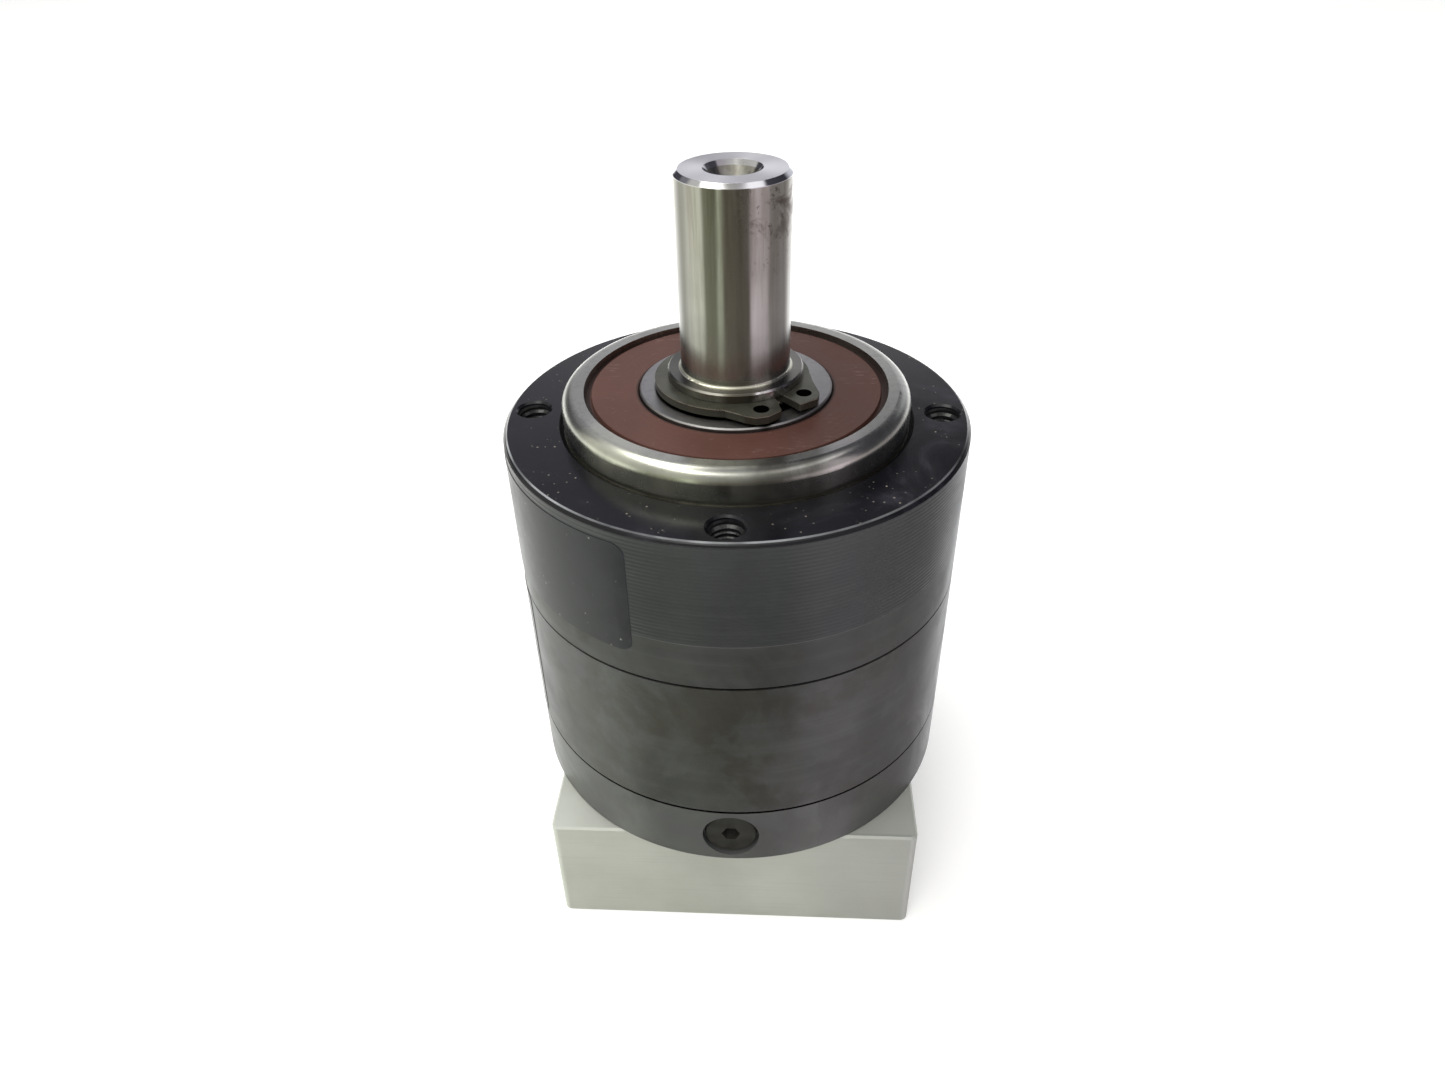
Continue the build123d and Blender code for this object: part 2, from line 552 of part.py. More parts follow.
nodes = {
    "adapter_plate": adapter_plate(),
    "input_housing": input_housing(),
    "ring_gear": ring_gear(),
    "output_housing": output_housing(),
    "tie_screws": group(tie_screw, ties),
    "plate_screws": group(plate_screw, plate_fasteners),
    "input_o_ring": o_ring(INPUT_HOUSING_TOP + SPIGOT_LENGTH / 2),
    "output_o_ring": o_ring(RING_GEAR_TOP - SPIGOT_LENGTH / 2),
    "access_plug": access_plug(),
    "front_label": label(*FRONT_LABEL, 1.8),
    "side_label": label(*SIDE_LABEL, 1.0),
    "input_bearing_circlip": bearing_circlip(),
    "main_bearing_outer_ring": main_outer_ring(),
    "main_bearing_inner_ring": inner_ring(
        SEAT_R, 14.3, 15.2, MAIN_PITCH_R, MAIN_BALL_R, MAIN_BEARING_BOTTOM, MAIN_BEARING_TOP, 1.6),
    "main_bearing_balls": balls(MAIN_PITCH_R, MAIN_BALL_R, 8, MAIN_MIDDLE),
    "main_bearing_cage": cage(MAIN_PITCH_R, MAIN_BALL_R, 8, MAIN_MIDDLE, 0.9, 5.3),
    "front_seal": seal(14.4, MAIN_SEAL_R, MAIN_BEARING_TOP - 1.6, MAIN_BEARING_TOP - 0.5, 0.6),
    "rear_seal": tube(MAIN_SEAL_R, 14.4, MAIN_BEARING_BOTTOM + 0.6, MAIN_BEARING_BOTTOM + 1.5),
    "carrier_bearing_outer_ring": outer_ring(
        CARRIER_OUTER_R, 21.3, 20.8, CARRIER_PITCH_R, CARRIER_BALL_R, CARRIER_BEARING_BOTTOM,
        CARRIER_BEARING_TOP, 1.0, 0.5),
    "carrier_bearing_inner_ring": inner_ring(
        CARRIER_JOURNAL_R, 17.2, 17.7, CARRIER_PITCH_R, CARRIER_BALL_R, CARRIER_BEARING_BOTTOM,
        CARRIER_BEARING_TOP, 1.0),
    "carrier_bearing_balls": balls(CARRIER_PITCH_R, CARRIER_BALL_R, 14, CARRIER_MIDDLE),
    "carrier_bearing_cage": cage(CARRIER_PITCH_R, CARRIER_BALL_R, 14, CARRIER_MIDDLE, 0.55, 3.1),
    "input_bearing_outer_ring": outer_ring(
        INPUT_OUTER_R, 14.5, 14.1, INPUT_PITCH_R, INPUT_BALL_R, INPUT_BEARING_BOTTOM, INPUT_BEARING_TOP,
        1.0, 0.4),
    "input_bearing_inner_ring": inner_ring(
        SEAT_R, 11.6, 11.9, INPUT_PITCH_R, INPUT_BALL_R, INPUT_BEARING_BOTTOM, INPUT_BEARING_TOP, 1.0),
    "input_bearing_balls": balls(INPUT_PITCH_R, INPUT_BALL_R, 13, INPUT_MIDDLE),
    "input_bearing_cage": cage(INPUT_PITCH_R, INPUT_BALL_R, 13, INPUT_MIDDLE, 0.4, 2.2),
    "output_shaft": output_shaft(),
    "shaft_circlip": circlip(),
    "carrier_rear_plate": carrier_rear_plate(),
    "carrier_screws": group(carrier_screw(), around(CARRIER_SCREW_R, 3, 60)),
    "planet_pins": group(planet_pin, planets),
    "thrust_washers": thrust_washers(),
    "input_hub": input_hub(),
    "clamp_ring": clamp_ring(),
    "clamp_screw": clamp_screw(),
}
for index in range(PLANET_COUNT):
    nodes[f"planet_gear_{index + 1}"] = planet_gear(index)
    nodes[f"needle_rollers_{index + 1}"] = needle_set(index)

os.makedirs("parts", exist_ok=True)
for name, shape in nodes.items():
    export_step(shape, f"parts/{name}.step")
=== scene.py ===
import bmesh
import bpy
import math
from mathutils import Matrix, Vector


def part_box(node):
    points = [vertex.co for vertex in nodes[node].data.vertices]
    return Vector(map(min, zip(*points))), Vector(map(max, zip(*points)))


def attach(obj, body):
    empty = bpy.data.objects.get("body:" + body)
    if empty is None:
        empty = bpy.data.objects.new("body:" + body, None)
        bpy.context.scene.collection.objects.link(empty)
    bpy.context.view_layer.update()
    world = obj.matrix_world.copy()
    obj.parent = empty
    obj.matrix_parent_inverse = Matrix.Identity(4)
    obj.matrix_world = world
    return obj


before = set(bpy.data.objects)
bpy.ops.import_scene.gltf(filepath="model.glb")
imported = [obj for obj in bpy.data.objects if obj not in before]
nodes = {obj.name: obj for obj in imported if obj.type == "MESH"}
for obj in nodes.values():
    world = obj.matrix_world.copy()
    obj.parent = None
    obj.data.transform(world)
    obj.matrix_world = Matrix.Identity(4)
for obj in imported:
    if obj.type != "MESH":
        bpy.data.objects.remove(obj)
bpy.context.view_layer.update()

MM = 0.001

# Landmarks of the gearbox, read from the frame where the frame has them
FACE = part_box("output_housing")[1].z
HOUSING_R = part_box("ring_gear")[1].x
RING_LOW, RING_HIGH = (corner.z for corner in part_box("ring_gear"))
STEP_LINE = FACE - 16.9 * MM
SHAFT_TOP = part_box("output_shaft")[1].z
CLIP_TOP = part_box("shaft_circlip")[1].z
CLIP_R = 11.4 * MM
CLIP_CENTRE = (-0.5 * MM, -0.4 * MM)
CLIP_EYES = ((4.07 * MM, -11.50 * MM), (10.02 * MM, -6.51 * MM))
CLIP_EYE_R = 1.1 * MM
SHOULDER = CLIP_TOP + 1.35 * MM
SEAL_INNER_R = 14.6 * MM
SEAL_OUTER_R = 21.9 * MM
PLATE_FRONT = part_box("adapter_plate")[0].y

# Widths of marks and edges
SEAM_HALF = 0.15 * MM
STEP_LINE_HALF = 0.07 * MM
RIDGE_PITCH = 0.62 * MM
RIDGE_DEPTH = 0.022 * MM
TIP_EDGE = 0.75 * MM
RIB_PITCH = 1.1 * MM

# Colours and roughness ranges that are used more than once
BLACK = (0.004, 0.004, 0.003)
DULL = (0.30, 0.45)


# Short forms for building node trees

def scaled_tone(factor, colour):
    return [factor * part for part in colour]


class Surface:
    """One procedural material. tone and shine gather its base colour and roughness until done()."""

    def __init__(self, name, metallic=0.0, specular=0.5):
        self.material = bpy.data.materials.new(name)
        self.material.use_nodes = True
        self.tree = self.material.node_tree
        self.shader = self.tree.nodes["Principled BSDF"]
        self.shader.inputs["Metallic"].default_value = metallic
        self.shader.inputs["IOR"].default_value = 1.5
        self.shader.inputs["Specular IOR Level"].default_value = specular
        self.place = self.node("ShaderNodeTexCoord").outputs["Object"]
        self.x, self.y, self.z = self.node("ShaderNodeSeparateXYZ", Vector=self.place).outputs
        self.tone = None
        self.shine = None

    def feed(self, socket, value):
        """Link a socket to another node's output, or set its number or colour."""
        if isinstance(value, bpy.types.NodeSocket):
            self.tree.links.new(value, socket)
        elif socket.type == "RGBA" and len(value) == 3:
            socket.default_value = (*value, 1.0)
        else:
            socket.default_value = value

    def node(self, kind, **values):
        made = self.tree.nodes.new(kind)
        for name, value in values.items():
            self.feed(made.inputs[name], value)
        return made

    def math(self, operation, *values):
        made = self.tree.nodes.new("ShaderNodeMath")
        made.operation = operation
        for socket, value in zip(made.inputs, values):
            self.feed(socket, value)
        return made.outputs[0]

    def product(self, first, *others):
        for other in others:
            first = self.math("MULTIPLY", first, other)
        return first

    def reach(self, centre=(0.0, 0.0)):
        """Distance from an upright line, by default the Z axis."""
        along = self.math("SUBTRACT", self.x, centre[0])
        across = self.math("SUBTRACT", self.y, centre[1])
        squares = self.math("ADD", self.product(along, along), self.product(across, across))
        return self.math("SQRT", squares)

    def scaled(self, x, y, z, height=None):
        """Coordinates stretched by a factor along each axis."""
        return self.node("ShaderNodeCombineXYZ", X=self.product(self.x, x), Y=self.product(self.y, y),
                         Z=self.product(height or self.z, z)).outputs[0]

    def lathe(self, slow, fine):
        """Coordinates for turning marks: slow along the cut, fine across it."""
        return self.scaled(slow, slow, fine, height=self.math("ADD", self.z, self.reach()))

    def noise(self, scale=1.0, detail=3.0, roughness=0.55, vector=None, distortion=0.0):
        made = self.node("ShaderNodeTexNoise", Vector=vector or self.place, Scale=scale, Detail=detail,
                         Roughness=roughness, Distortion=distortion)
        return made.outputs["Fac"]

    def specks(self, scale, wide, narrow):
        """Small round dots, one in each Voronoi cell."""
        cell = self.node("ShaderNodeTexVoronoi", Vector=self.place, Scale=scale).outputs["Distance"]
        return self.band(cell, wide, narrow)

    def band(self, value, low, high, to_low=0.0, to_high=1.0):
        """A smooth step between two values of value. low may be above high."""
        made = self.node("ShaderNodeMapRange", Value=value)
        made.interpolation_type = "SMOOTHSTEP"
        for name, number in (("From Min", low), ("From Max", high), ("To Min", to_low), ("To Max", to_high)):
            made.inputs[name].default_value = number
        return made.outputs[0]

    def between(self, value, start, end, soft):
        """A window from start to end, with edges that fade over soft either way."""
        return self.product(self.band(value, start - soft, start + soft),
                            self.band(value, end + soft, end - soft))

    def mix(self, factor, first, second):
        made = self.tree.nodes.new("ShaderNodeMix")
        made.data_type = "RGBA"
        for index, value in ((0, factor), (6, first), (7, second)):
            self.feed(made.inputs[index], value)
        return made.outputs[2]

    def paint(self, colour, *masks):
        """Cover the tone with a colour where all the masks agree."""
        self.tone = self.mix(self.product(*masks), self.tone, colour)

    def roughen(self, amount, mask):
        self.shine = self.math("ADD", self.shine, self.product(mask, amount))

    def turned_gloss(self, amount):
        """Stretch reflections across the turning marks that run round the Z axis."""
        self.shader.inputs["Anisotropic"].default_value = amount
        self.shader.inputs["Anisotropic Rotation"].default_value = 0.25
        around = self.tree.nodes.new("ShaderNodeTangent")
        around.direction_type = "RADIAL"
        around.axis = "Z"
        self.tree.links.new(around.outputs[0], self.shader.inputs["Tangent"])

    def bump(self, height, depth, strength=1.0):
        """Raise the surface by height times depth metres, on top of earlier bumps."""
        made = self.node("ShaderNodeBump", Height=height, Distance=depth, Strength=strength)
        normal = self.shader.inputs["Normal"]
        if normal.links:
            self.tree.links.new(normal.links[0].from_socket, made.inputs["Normal"])
        self.tree.links.new(made.outputs[0], normal)

    def done(self):
        self.feed(self.shader.inputs["Base Color"], self.tone)
        self.feed(self.shader.inputs["Roughness"], self.shine)
        return self.material


# Blackened casing

class Blackened(Surface):
    """Blackened steel with fine turning marks, drifting tone and dark lines at its joints."""

    def __init__(self, name, specular, joints, lift=1.0):
        super().__init__(name, specular=specular)
        self.fine = self.noise(vector=self.lathe(12, 5200), detail=2.0)
        broad = self.noise(vector=self.lathe(9, 700), detail=3.0)
        cloud = self.noise(scale=38, detail=5.0, roughness=0.6)
        self.drift = self.noise(scale=52, detail=6.0, roughness=0.62, distortion=0.6)
        self.smear = self.noise(scale=60, detail=4.0, roughness=0.65, distortion=1.2)
        self.joints = joints
        self.tone = self.mix(self.band(cloud, 0.35, 0.7), scaled_tone(lift, (0.029, 0.031, 0.030)),
                             scaled_tone(lift, (0.043, 0.045, 0.043)))
        self.paint((0.060, 0.063, 0.061), self.band(broad, 0.5, 0.75), 0.35)
        self.paint((0.056, 0.054, 0.064), self.band(self.drift, 0.50, 0.66), 0.45)
        self.paint((0.017, 0.017, 0.018), self.band(self.drift, 0.48, 0.36), 0.40)
        self.shine = self.band(self.smear, 0.3, 0.75, 0.30, 0.42)

    def stain(self, amount):
        """Pale rubbed patches and brown stains."""
        patch = self.noise(scale=74, detail=8.0, roughness=0.68, distortion=0.35)
        self.paint((0.066, 0.070, 0.067), self.band(patch, 0.44, 0.34), 0.5 * amount)
        self.paint((0.017, 0.014, 0.007), self.band(patch, 0.48, 0.62), amount)

    def ridges(self):
        """Turned ridges above the step line, and an oily smear below it."""
        self.paint((0.020, 0.016, 0.009), self.band(self.z, STEP_LINE - 1 * MM, STEP_LINE - 3 * MM),
                   self.band(self.smear, 0.50, 0.64), 0.45)
        upper = self.product(self.band(self.z, STEP_LINE - 0.05 * MM, STEP_LINE + 0.05 * MM),
                             self.band(self.reach(), HOUSING_R - 0.45 * MM, HOUSING_R - 0.1 * MM))
        self.paint((0.024, 0.027, 0.030), upper, 0.6)
        self.paint((0.09, 0.09, 0.09), self.math("COMPARE", self.z, STEP_LINE, STEP_LINE_HALF), 0.45)
        groove = self.math("SINE", self.product(self.z, 2 * math.pi / RIDGE_PITCH))
        self.bump(self.product(groove, self.band(self.drift, 0.30, 0.70, 0.35, 1.0), upper), RIDGE_DEPTH)

    def top_face(self):
        """The glossy black end face: wiped streaks, a painted highlight along the outer edge and dust."""
        top = self.band(self.z, FACE - 0.75 * MM, FACE - 0.55 * MM)
        self.paint((0.003, 0.003, 0.005), top, 0.96)
        self.paint((0.032, 0.030, 0.044), self.band(self.smear, 0.52, 0.72), top, 0.55)
        self.roughen(-0.13, top)
        # Painted highlight: a thin bright line along the outer edge, fading towards +X.
        self.paint((0.34, 0.35, 0.37), self.band(self.reach(), HOUSING_R - 0.72 * MM, HOUSING_R - 0.58 * MM),
                   self.band(self.z, FACE - 0.22 * MM, FACE - 0.12 * MM),
                   self.band(self.noise(scale=75, detail=3.0), 0.34, 0.62, 0.15, 1.0),
                   self.band(self.x, -4 * MM, 16 * MM, 1.0, 0.35))
        dust = self.product(self.specks(900, 0.19, 0.07),
                            self.band(self.noise(scale=170, detail=4.0, roughness=0.7), 0.46, 0.64),
                            self.band(self.z, FACE - 0.1 * MM, FACE - 0.03 * MM))
        self.paint((0.36, 0.32, 0.25), dust, 0.6)
        self.roughen(0.3, dust)

    def done(self):
        gap = 0.0
        for height in self.joints:
            gap = self.math("MAXIMUM", gap, self.math("COMPARE", self.z, height, SEAM_HALF))
        self.paint((0.002, 0.002, 0.002), gap)
        self.feed(self.shader.inputs["Metallic"], gap)
        self.bump(self.fine, 0.0015 * MM, 0.8)
        return super().done()


def output_housing_black():
    s = Blackened("output_housing_black", specular=0.45, joints=(RING_HIGH,))
    s.ridges()
    s.top_face()
    return s.done()


def ring_gear_black():
    s = Blackened("ring_gear_black", specular=0.62, joints=(RING_LOW, RING_HIGH))
    s.stain(0.5)
    return s.done()


def input_housing_black():
    s = Blackened("input_housing_black", specular=0.62, joints=(RING_LOW,), lift=1.8)
    # Painted shade: darker towards +X.
    s.paint((0.022, 0.022, 0.023), s.band(s.x, 5 * MM, 26 * MM, 0.0, 0.55))
    s.stain(0.2)
    return s.done()


# Bright steel

class Steel(Surface):
    """Bare steel with fine circular marks and faint upright streaks; ground stretches its reflections."""

    def __init__(self, name, tint=(0.56, 0.55, 0.52), rough=(0.16, 0.27), ground=0.0):
        super().__init__(name, metallic=1.0)
        if ground:
            self.turned_gloss(ground)
        self.fine = self.noise(vector=self.lathe(30, 3200), detail=2.0)
        self.cloud = self.noise(scale=110, detail=3.0, roughness=0.5)
        self.drip = self.noise(vector=self.scaled(900, 900, 45), detail=4.0, roughness=0.6)
        self.tone = self.mix(self.band(self.cloud, 0.3, 0.7), tint, scaled_tone(0.9, tint))
        self.paint(scaled_tone(0.7, tint), self.band(self.fine, 0.55, 0.8), 0.2)
        self.paint(scaled_tone(0.55, tint), self.band(self.drip, 0.42, 0.75), 0.35)
        self.shine = self.band(self.cloud, 0.25, 0.75, *rough)

    def shade_foot(self, top, depth):
        """Painted shade at the foot of a part: darker and rougher below the height top, full from depth under
        it.
        """
        shaded_foot = self.band(self.z, top, top - depth)
        self.paint((0.17, 0.16, 0.125), shaded_foot, self.band(self.cloud, 0.3, 0.7, 0.45, 0.75))
        self.roughen(0.08, shaded_foot)

    def done(self):
        self.bump(self.fine, 0.0008 * MM, 0.7)
        return super().done()


def shaft_steel():
    """The output shaft: painted darker reflections on its flanks, painted shade towards its foot and deep in
    the centre bore, tarnish, rust and pits near the tip on +X, and a polished tip whose brighter colour is a
    painted highlight.
    """
    s = Steel("shaft_steel", ground=0.8)
    # Painted shade towards the foot of the shaft: darker and rougher.
    s.shade_foot(FACE + 9.6 * MM, 1.2 * MM)
    # Painted darker reflections on both flanks of the shaft, strongest towards -X.
    s.paint((0.12, 0.12, 0.11), s.band(s.x, -5.2 * MM, -7.2 * MM, 0.0, 0.78))
    s.paint((0.22, 0.21, 0.20), s.band(s.x, 4.6 * MM, 6.2 * MM, 0.0, 0.45))
    below_tip = s.band(s.z, SHAFT_TOP - TIP_EDGE + 0.1 * MM, SHAFT_TOP - TIP_EDGE)
    stain_low = SHAFT_TOP - 16 * MM
    s.paint((0.26, 0.235, 0.185), s.band(s.z, stain_low - 10 * MM, stain_low + 17 * MM),
            s.band(s.drip, 0.30, 0.70, 0.20, 0.7), below_tip)
    stained = s.product(s.band(s.z, stain_low, stain_low + 14 * MM), s.band(s.x, -1 * MM, 5 * MM),
                        below_tip, 0.8)
    blot = s.noise(scale=210, detail=7.0, roughness=0.7, distortion=0.5)
    rust = s.product(s.band(blot, 0.51, 0.66), stained)
    s.paint((0.11, 0.08, 0.065), rust)
    s.paint((0.13, 0.11, 0.10), s.band(s.noise(scale=1300, detail=3.0), 0.61, 0.66), stained)
    s.roughen(0.25, rust)
    # The tip is polished (smoother), and its chamfer and end face are also painted brighter as a painted
    # highlight.
    polish_and_highlight = s.band(s.z, SHAFT_TOP - TIP_EDGE, SHAFT_TOP - TIP_EDGE + 0.15 * MM)
    s.roughen(-0.10, polish_and_highlight)
    s.roughen(0.22, s.band(s.z, SHAFT_TOP - 0.05 * MM, SHAFT_TOP - 0.01 * MM))
    s.paint((0.78, 0.77, 0.82), polish_and_highlight, 0.8)
    shaft_shoulder(s)
    # Painted shade deeper inside the centre bore.
    s.paint((0.12, 0.12, 0.09), s.band(s.reach(), 3.3 * MM, 3.1 * MM),
            s.band(s.z, SHAFT_TOP - 2.4 * MM, SHAFT_TOP - 3.6 * MM), 0.8)
    return s.done()


def shaft_shoulder(s):
    """The step above the circlip: painted shade on the middle of its front, one painted reflection patch and
    a painted highlight along the inner corner.
    """
    front = s.product(s.band(s.z, SHOULDER + 0.02 * MM, SHOULDER - 0.06 * MM), s.band(s.y, -2 * MM, -5 * MM))
    # Painted shade: a dark length on the middle of the step's front.
    s.paint((0.075, 0.062, 0.045), front, s.band(s.x, -2.2 * MM, -0.4 * MM),
            s.band(s.x, 3.6 * MM, 2.4 * MM), 0.75)
    # Painted reflection: a bright patch on the step's front towards +X.
    painted_reflection_patch = s.product(front, s.band(s.x, 2.7 * MM, 3.7 * MM), s.band(s.x, 8.3 * MM, 6.9 * MM),
                       s.band(s.noise(scale=420, detail=5.0), 0.38, 0.56))
    s.paint((0.88, 0.82, 0.86), painted_reflection_patch, 0.9)
    s.roughen(-0.12, painted_reflection_patch)
    # Painted highlight along the inner corner at the foot of the shaft.
    s.paint((0.92, 0.90, 0.76), s.math("COMPARE", s.z, SHOULDER + 0.16 * MM, 0.16 * MM),
            s.band(s.reach(), 8.42 * MM, 8.36 * MM), 0.8)


def pilot_ring_steel():
    """The bearing ring that stands out of the face: painted reflections in bright and dark lengths on its
    front wall, and painted shade at its foot.
    """
    s = Steel("pilot_ring_steel", tint=(0.56, 0.56, 0.52), rough=(0.22, 0.34), ground=0.4)
    # Painted shade towards the foot of the ring, where it meets the housing face.
    s.shade_foot(FACE + 0.9 * MM, 1.0 * MM)
    wall = s.product(s.band(s.y, -8 * MM, -14 * MM), s.band(s.z, FACE + 0.25 * MM, FACE + 0.6 * MM),
                     s.band(s.noise(scale=230, detail=5.0), 0.30, 0.62, 0.55, 1.0))
    # Painted reflections: bright, dark and bright lengths along the front wall, from -X to +X.
    for start, end, colour, amount in (
        (-20 * MM, -3 * MM, (0.90, 0.90, 0.78), 0.75),
        (3 * MM, 12.5 * MM, (0.10, 0.09, 0.07), 0.60),
        (13 * MM, 18 * MM, (0.86, 0.82, 0.78), 0.70),
    ):
        s.paint(colour, s.between(s.x, start, end, 1.5 * MM), wall, amount)
    return s.done()


def inner_ring_steel():
    """The main bearing's inner ring, black where the circlip shades it."""
    s = Steel("inner_ring_steel", tint=(0.44, 0.43, 0.43), rough=(0.30, 0.42))
    for eye in CLIP_EYES:
        s.paint(BLACK, s.band(s.reach(eye), 2.3 * MM, 1.9 * MM))
    s.paint((0.006, 0.006, 0.005), s.band(s.reach(CLIP_CENTRE), CLIP_R + 0.35 * MM, CLIP_R - 0.1 * MM))
    return s.done()


def spring_clip():
    """Phosphated spring steel: smooth and dark, darker below its top face, with a painted highlight along its
    upper corners and painted shade inside the eyes.
    """
    s = Surface("circlip_phosphated", metallic=0.75)
    cloud = s.noise(scale=260, detail=4.0, roughness=0.6)
    s.tone = s.mix(s.band(cloud, 0.3, 0.7), (0.088, 0.088, 0.068), (0.135, 0.134, 0.108))
    s.shine = s.band(cloud, 0.25, 0.75, 0.24, 0.36)
    # Darker everywhere below the top face.
    s.paint((0.045, 0.044, 0.036), s.band(s.z, CLIP_TOP - 0.02 * MM, CLIP_TOP - 0.05 * MM), 0.55)
    # Painted highlight along the upper corners of the sides.
    s.paint((0.46, 0.45, 0.38), s.math("COMPARE", s.z, CLIP_TOP - 0.10 * MM, 0.07 * MM),
            s.band(s.noise(scale=500, detail=3.0), 0.30, 0.55, 0.35, 0.9))
    # Painted shade inside the eyes.
    for eye in CLIP_EYES:
        s.paint(BLACK, s.band(s.reach(eye), CLIP_EYE_R + 0.06 * MM, CLIP_EYE_R + 0.01 * MM))
    s.bump(s.noise(scale=1600, detail=3.0), 0.002 * MM)
    return s.done()


# Other materials

def milled_aluminium():
    """Natural aluminium, fine milled, with faint handling marks and painted shade on the front towards +X."""
    s = Surface("plate_aluminium", metallic=0.55)
    grain = s.noise(vector=s.scaled(60, 60, 2600), detail=2.0)
    cloud = s.noise(scale=45, detail=5.0, roughness=0.6)
    s.tone = s.mix(s.band(cloud, 0.3, 0.7), (0.56, 0.58, 0.53), (0.64, 0.66, 0.61))
    s.shine = s.band(cloud, 0.25, 0.75, 0.36, 0.50)
    s.paint((0.48, 0.49, 0.45), s.band(grain, 0.5, 0.8), 0.3)
    # Painted shade on the front face, darker towards +X.
    s.paint((0.36, 0.37, 0.37), s.band(s.y, PLATE_FRONT + 1.0 * MM, PLATE_FRONT + 0.4 * MM),
            s.band(s.x, 4 * MM, 30 * MM, 0.0, 0.45))
    s.bump(grain, 0.003 * MM, 0.7)
    return s.done()


def seal_rubber():
    """Red-brown moulded rubber with faint concentric ribs, light scuffs, and painted shade towards +X and in
    the steps at both rims.
    """
    s = Surface("seal_red_brown", specular=0.2)
    cloud = s.noise(scale=120, detail=5.0, roughness=0.6)
    s.tone = s.mix(s.band(cloud, 0.3, 0.7), (0.080, 0.036, 0.028), (0.100, 0.046, 0.037))
    s.shine = s.band(cloud, 0.25, 0.75, 0.36, 0.52)
    s.paint((0.17, 0.11, 0.09), s.band(s.noise(scale=1500, detail=2.0), 0.66, 0.74), 0.4)
    # Painted shade: darker towards +X.
    s.paint((0.046, 0.020, 0.016), s.band(s.x, 3 * MM, 17 * MM, 0.0, 0.45))
    s.paint((0.23, 0.16, 0.14), s.band(s.noise(vector=s.scaled(350, 2600, 1), detail=3.0), 0.58, 0.68),
            s.band(s.noise(scale=95, detail=3.0), 0.50, 0.62), 0.45)
    # Painted shade in the steps at the outer and inner rims.
    rim_shade = s.math("MAXIMUM", s.band(s.reach(), SEAL_OUTER_R - 0.5 * MM, SEAL_OUTER_R),
                 s.band(s.reach(), SEAL_INNER_R + 0.4 * MM, SEAL_INNER_R))
    s.paint((0.012, 0.008, 0.007), rim_shade, 0.85)
    s.bump(s.math("SINE", s.product(s.reach(), 2 * math.pi / RIB_PITCH)), 0.002 * MM)
    s.bump(s.noise(scale=1100, detail=3.0), 0.006 * MM)
    return s.done()


def plain_grain(name, dark, light, rough, scale, metallic=0.0, specular=0.5, depth=0.006 * MM, flecks=0.0):
    """Fine even grain between two tones, for small parts, with flecks of dust where asked."""
    s = Surface(name, metallic=metallic, specular=specular)
    grain = s.noise(scale=scale, detail=4.0, roughness=0.6)
    wear = s.noise(scale=4 * scale, detail=3.0)
    s.tone = s.mix(s.band(grain, 0.3, 0.7), dark, light)
    s.shine = s.band(grain, 0.25, 0.75, *rough)
    s.paint(scaled_tone(1.8, light), s.band(wear, 0.62, 0.75), 0.3)
    if flecks:
        s.paint((0.30, 0.30, 0.28), s.specks(700, 0.17, 0.07),
                s.band(s.noise(scale=210, detail=4.0, roughness=0.7), 0.50, 0.64), flecks)
    s.bump(wear, depth)
    return s.done()


def give(material, *names):
    for name in names:
        slots = nodes[name].data.materials
        slots.clear()
        slots.append(material)


bearing_steel = Steel("bearing_ring_steel").done()
give(output_housing_black(), "output_housing")
give(ring_gear_black(), "ring_gear")
give(input_housing_black(), "input_housing")
give(shaft_steel(), "output_shaft")
give(pilot_ring_steel(), "main_bearing_outer_ring")
give(bearing_steel, "carrier_bearing_outer_ring", "carrier_bearing_inner_ring",
     "input_bearing_outer_ring", "input_bearing_inner_ring")
give(inner_ring_steel(), "main_bearing_inner_ring")
give(Steel("carrier_steel", rough=DULL).done(), "carrier_rear_plate", "planet_pins", "input_hub")
give(Steel("gear_steel", tint=(0.42, 0.42, 0.43), rough=DULL).done(),
     "planet_gear_1", "planet_gear_2", "planet_gear_3")
give(Steel("ball_steel", tint=(0.72, 0.72, 0.72), rough=(0.06, 0.12)).done(),
     "main_bearing_balls", "carrier_bearing_balls", "input_bearing_balls",
     "needle_rollers_1", "needle_rollers_2", "needle_rollers_3")
give(Steel("cage_steel", tint=(0.45, 0.45, 0.43), rough=DULL).done(),
     "main_bearing_cage", "carrier_bearing_cage", "input_bearing_cage")
give(Steel("washer_bronze", tint=(0.50, 0.33, 0.15), rough=DULL).done(), "thrust_washers")
give(milled_aluminium(), "adapter_plate")
give(seal_rubber(), "front_seal", "rear_seal")
give(spring_clip(), "shaft_circlip", "input_bearing_circlip")
give(plain_grain("label_film", (0.009, 0.010, 0.014), (0.015, 0.016, 0.021), (0.28, 0.36), scale=250,
                 specular=0.42, depth=0.002 * MM, flecks=0.5), "front_label", "side_label")
give(plain_grain("plug_black", (0.016, 0.016, 0.014), (0.026, 0.026, 0.023), (0.34, 0.48), scale=500,
                 specular=0.35), "access_plug")
give(plain_grain("screw_black", (0.025, 0.025, 0.027), (0.05, 0.05, 0.052), (0.34, 0.46), scale=500,
                 metallic=0.4), "tie_screws", "plate_screws", "carrier_screws", "clamp_screw", "clamp_ring")
give(plain_grain("o_ring_rubber", (0.012, 0.012, 0.012), (0.02, 0.02, 0.02), (0.4, 0.55), scale=400),
     "input_o_ring", "output_o_ring")
# Painted shade: the thread ridges in the tapped holes are much darker than the casing around them.
thread_shade_black = plain_grain("thread_shade_black", (0.007, 0.007, 0.008), (0.014, 0.014, 0.015), (0.16, 0.28),
                           scale=900, specular=0.6)


# Thread ridges in the tapped holes

THREAD_PITCH = 0.8 * MM
THREAD_DEPTH = 0.42 * MM
THREAD_GAP = 0.02 * MM
THREAD_STEPS = 32
TAP_DRILL_R = 2.5 * MM
BOLT_CIRCLE_R = 31 * MM


